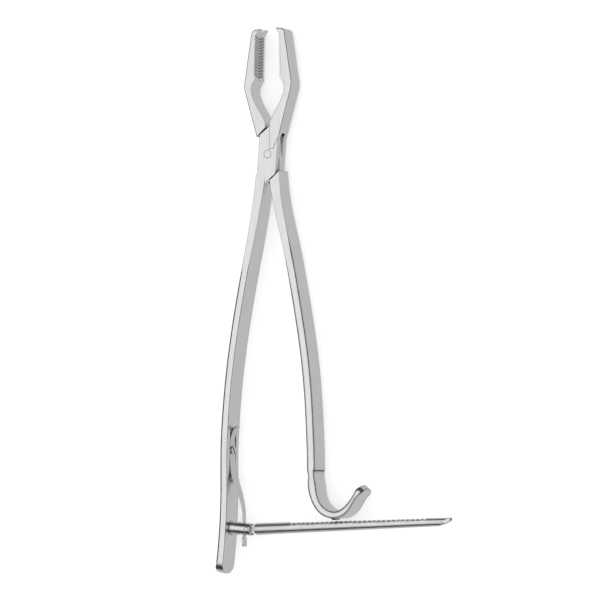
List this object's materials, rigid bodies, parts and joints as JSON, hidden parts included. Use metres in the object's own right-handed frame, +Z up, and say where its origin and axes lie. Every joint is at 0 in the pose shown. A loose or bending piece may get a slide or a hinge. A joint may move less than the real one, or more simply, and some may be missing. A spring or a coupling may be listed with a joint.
{
  "type": "bone holding forceps",
  "caption": "Long ratcheted bone holding forceps: box-locked serrated jaws, bowed handles, a hooked handle end and a toothed swing bar that locks them.",
  "frame": {"origin": "middle of the footprint on the surface that the forceps lie on, level with the flat rear edges of both handles", "axes": "+X across the forceps from the spring handle to the ratchet bar's tip, +Y along the forceps towards the jaws, +Z up through their depth, towards the pictured side"},
  "size_m": [0.1586, 0.3304, 0.014],
  "materials": {
    "satin_steel": "satin",
    "polished_steel": "fine satin, polished crests",
    "spring_steel": "satin",
    "pin_steel": "satin"
  },
  "bodies": {
    "box_arm": {"box_arm": "satin_steel", "box_pin": "pin_steel", "ratchet_stud": "satin_steel", "leaf_spring": "spring_steel", "spring_screw": "pin_steel"},
    "tongue_arm": {"tongue_arm": "satin_steel"},
    "ratchet_pin": {"ratchet_pin": "pin_steel"},
    "ratchet_bar": {"ratchet_bar": "polished_steel"}
  },
  "joints": [
    {"name": "box_joint", "type": "hinge", "parent": "box_arm", "child": "tongue_arm", "pos_m": [-0.04306, 0.08829, 0.007], "axis": [0, 0, 1], "range_deg": [-5.5, 16.5]},
    {"name": "ratchet_follow", "type": "hinge", "parent": "box_arm", "child": "ratchet_pin", "pos_m": [-0.05885, -0.13842, 0.007], "axis": [0, 0, 1], "range_deg": [-3.4, 9.8]},
    {"name": "ratchet_release", "type": "hinge", "parent": "ratchet_pin", "child": "ratchet_bar", "pos_m": [-0.05885, -0.13842, 0.007], "axis": [0, 0, 1], "range_deg": [-60, 0]}
  ],
  "couplings": [
    {"joint": "ratchet_follow", "follows": "box_joint", "ratio": 0.585}
  ]
}
